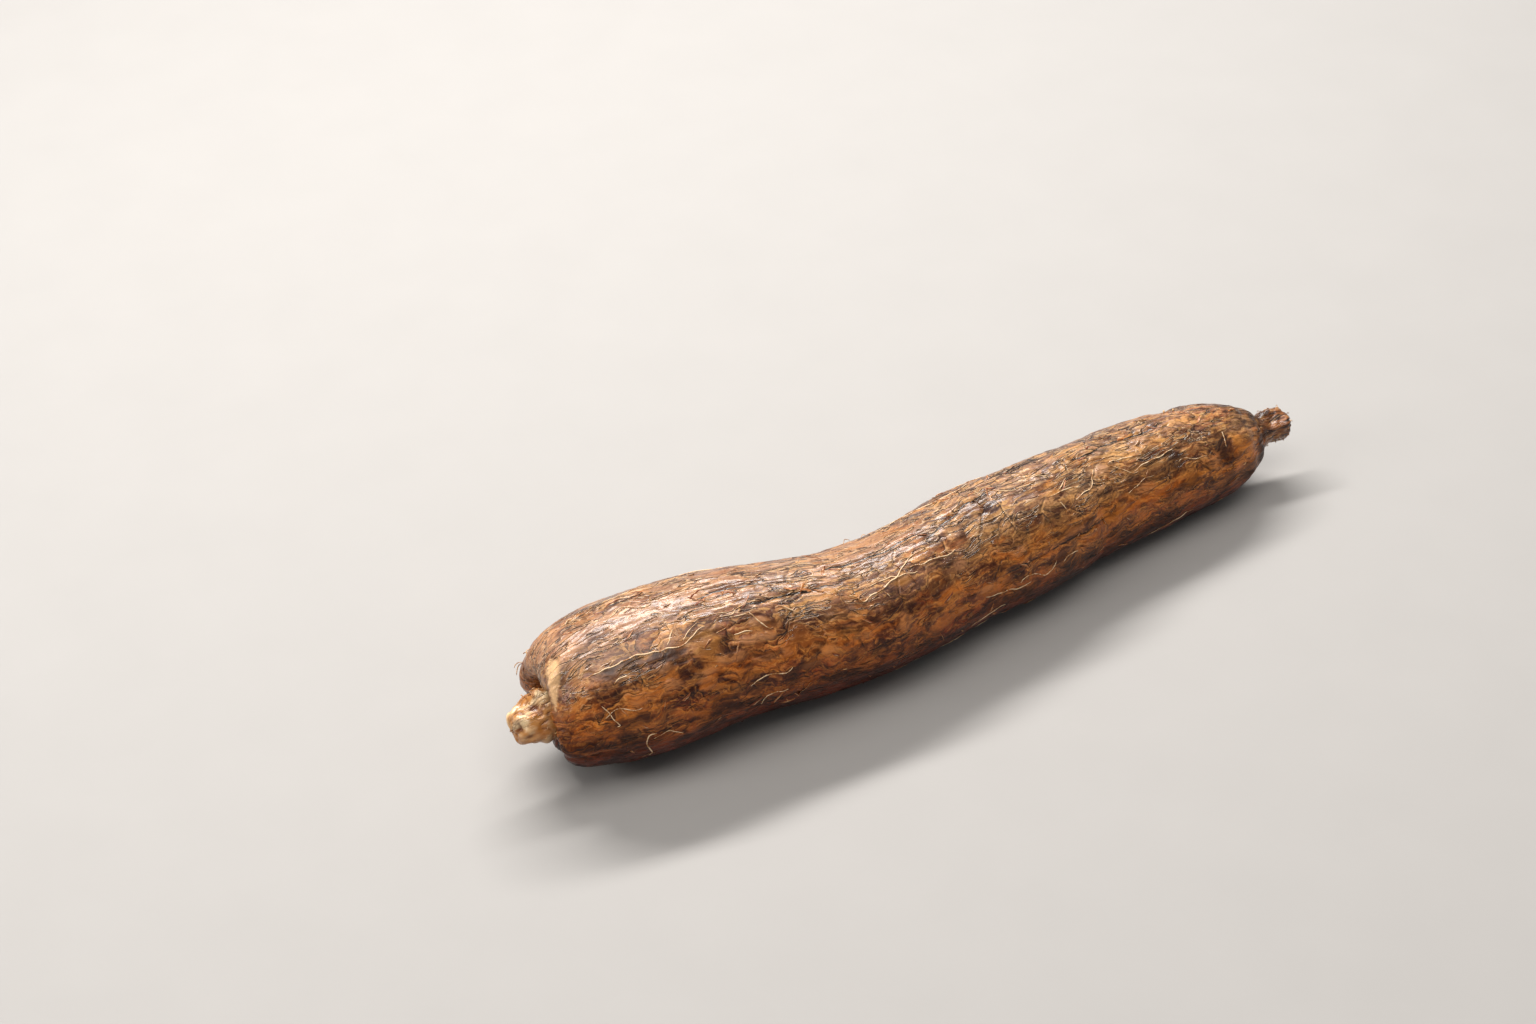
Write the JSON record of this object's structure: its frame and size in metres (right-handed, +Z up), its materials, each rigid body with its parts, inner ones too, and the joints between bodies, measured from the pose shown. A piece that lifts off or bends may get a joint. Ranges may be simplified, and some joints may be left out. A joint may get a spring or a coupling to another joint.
{
  "type": "cassava root",
  "caption": "Whole unpeeled cassava root, thick at the neck and tapering to a thin tail, with a broken stub at each end, lying on its side.",
  "frame": {"origin": "on the surface the root lies on, under the middle of its bounding box", "axes": "+X along the root from the neck end to the tail end, +Y to its back, +Z up"},
  "size_m": [0.3888, 0.0728, 0.0663],
  "materials": {
    "bark": "waxed, semi-gloss"
  },
  "bodies": {
    "root": {"cassava_root": "bark"}
  },
  "joints": []
}
